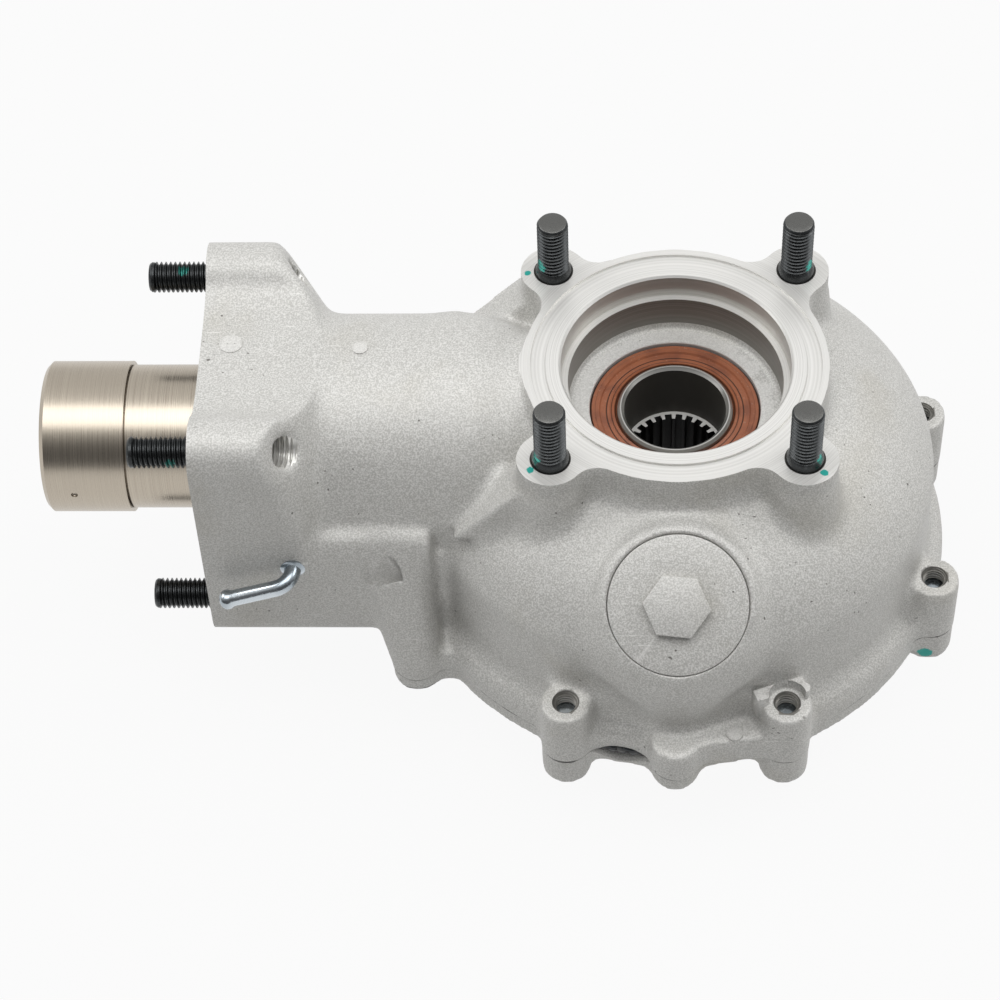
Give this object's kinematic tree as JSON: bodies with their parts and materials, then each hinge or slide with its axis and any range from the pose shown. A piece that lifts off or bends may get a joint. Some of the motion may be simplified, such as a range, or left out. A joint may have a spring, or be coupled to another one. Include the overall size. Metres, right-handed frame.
{
  "type": "final drive differential",
  "caption": "Cast aluminium final drive with a splined axle hub on a bevel ring gear, a coupled pinion input and studded flanges.",
  "frame": {"origin": "where the axle axis meets the pinion axis, inside the hub's plain bore", "axes": "+Z along the axle axis, out of the studded axle flange; -X along the pinion axis, out of the input coupling; -Y towards the oil filler cap and the breather, which is up on the vehicle"},
  "size_m": [0.2938, 0.1974, 0.1424],
  "materials": {
    "cast_aluminium": "sand cast and shot blasted, faces machined bright",
    "black_studs": "black phosphate with cut threads",
    "zinc_steel": "bright zinc plate",
    "gear_steel": "case hardened and ground",
    "hub_steel": "turned and ground, oiled bore",
    "bearing_steel": "ground bearing steel",
    "nickel_steel": "nickel plate with turning marks",
    "brown_seal": "reddish brown oil seal rubber",
    "black_rubber": "black sealing rubber",
    "gasket": "dark sealing compound",
    "copper_washer": "soft copper"
  },
  "bodies": {
    "housing": {"main_case": "cast_aluminium", "side_cover": "cast_aluminium", "cover_gasket": "gasket", "cover_bolts": "zinc_steel", "dowel_pins": "zinc_steel", "axle_flange_studs": "black_studs", "pinion_flange_studs": "black_studs", "axle_seal_upper": "brown_seal", "axle_seal_lower": "brown_seal", "hub_bearing_upper_outer_ring": "bearing_steel", "hub_bearing_lower_outer_ring": "bearing_steel", "pinion_bearing_inboard_outer_ring": "bearing_steel", "pinion_bearing_outboard_outer_ring": "bearing_steel", "pinion_outer_spacer": "bearing_steel", "pinion_lock_ring": "gear_steel", "pinion_seal": "black_rubber", "oil_filler_cap": "cast_aluminium", "filler_cap_oring": "black_rubber", "drain_bolt": "zinc_steel", "drain_washer": "copper_washer", "breather_tube": "zinc_steel"},
    "ring_gear_and_hub": {"ring_gear": "gear_steel", "ring_gear_bolts": "gear_steel", "splined_hub": "hub_steel", "hub_bearing_upper_inner_ring": "bearing_steel", "hub_bearing_lower_inner_ring": "bearing_steel"},
    "pinion_and_coupling": {"pinion_shaft": "gear_steel", "pinion_bearing_inboard_inner_ring": "bearing_steel", "pinion_bearing_outboard_inner_ring": "bearing_steel", "pinion_inner_spacer": "bearing_steel", "coupling_hub": "nickel_steel", "coupling_sleeve": "nickel_steel", "pinion_washer": "zinc_steel", "pinion_nut": "zinc_steel"},
    "upper_hub_balls": {"hub_bearing_upper_balls": "bearing_steel"},
    "lower_hub_balls": {"hub_bearing_lower_balls": "bearing_steel"},
    "inboard_pinion_balls": {"pinion_bearing_inboard_balls": "bearing_steel"},
    "outboard_pinion_balls": {"pinion_bearing_outboard_balls": "bearing_steel"}
  },
  "joints": [
    {"name": "ring_gear_spin", "type": "hinge", "parent": "housing", "child": "ring_gear_and_hub", "pos_m": [0, 0, 0], "axis": [0, 0, 1], "continuous": true},
    {"name": "pinion_spin", "type": "hinge", "parent": "housing", "child": "pinion_and_coupling", "pos_m": [0, 0, 0], "axis": [1, 0, 0], "continuous": true},
    {"name": "upper_balls_spin", "type": "hinge", "parent": "housing", "child": "upper_hub_balls", "pos_m": [0, 0, 0], "axis": [0, 0, 1], "continuous": true},
    {"name": "lower_balls_spin", "type": "hinge", "parent": "housing", "child": "lower_hub_balls", "pos_m": [0, 0, 0], "axis": [0, 0, 1], "continuous": true},
    {"name": "inboard_balls_spin", "type": "hinge", "parent": "housing", "child": "inboard_pinion_balls", "pos_m": [0, 0, 0], "axis": [1, 0, 0], "continuous": true},
    {"name": "outboard_balls_spin", "type": "hinge", "parent": "housing", "child": "outboard_pinion_balls", "pos_m": [0, 0, 0], "axis": [1, 0, 0], "continuous": true}
  ],
  "couplings": [
    {"joint": "pinion_spin", "follows": "ring_gear_spin", "ratio": -3.1538},
    {"joint": "upper_balls_spin", "follows": "ring_gear_spin", "ratio": 0.43529},
    {"joint": "lower_balls_spin", "follows": "ring_gear_spin", "ratio": 0.43529},
    {"joint": "inboard_balls_spin", "follows": "ring_gear_spin", "ratio": -1.2478},
    {"joint": "outboard_balls_spin", "follows": "ring_gear_spin", "ratio": -1.2478}
  ]
}
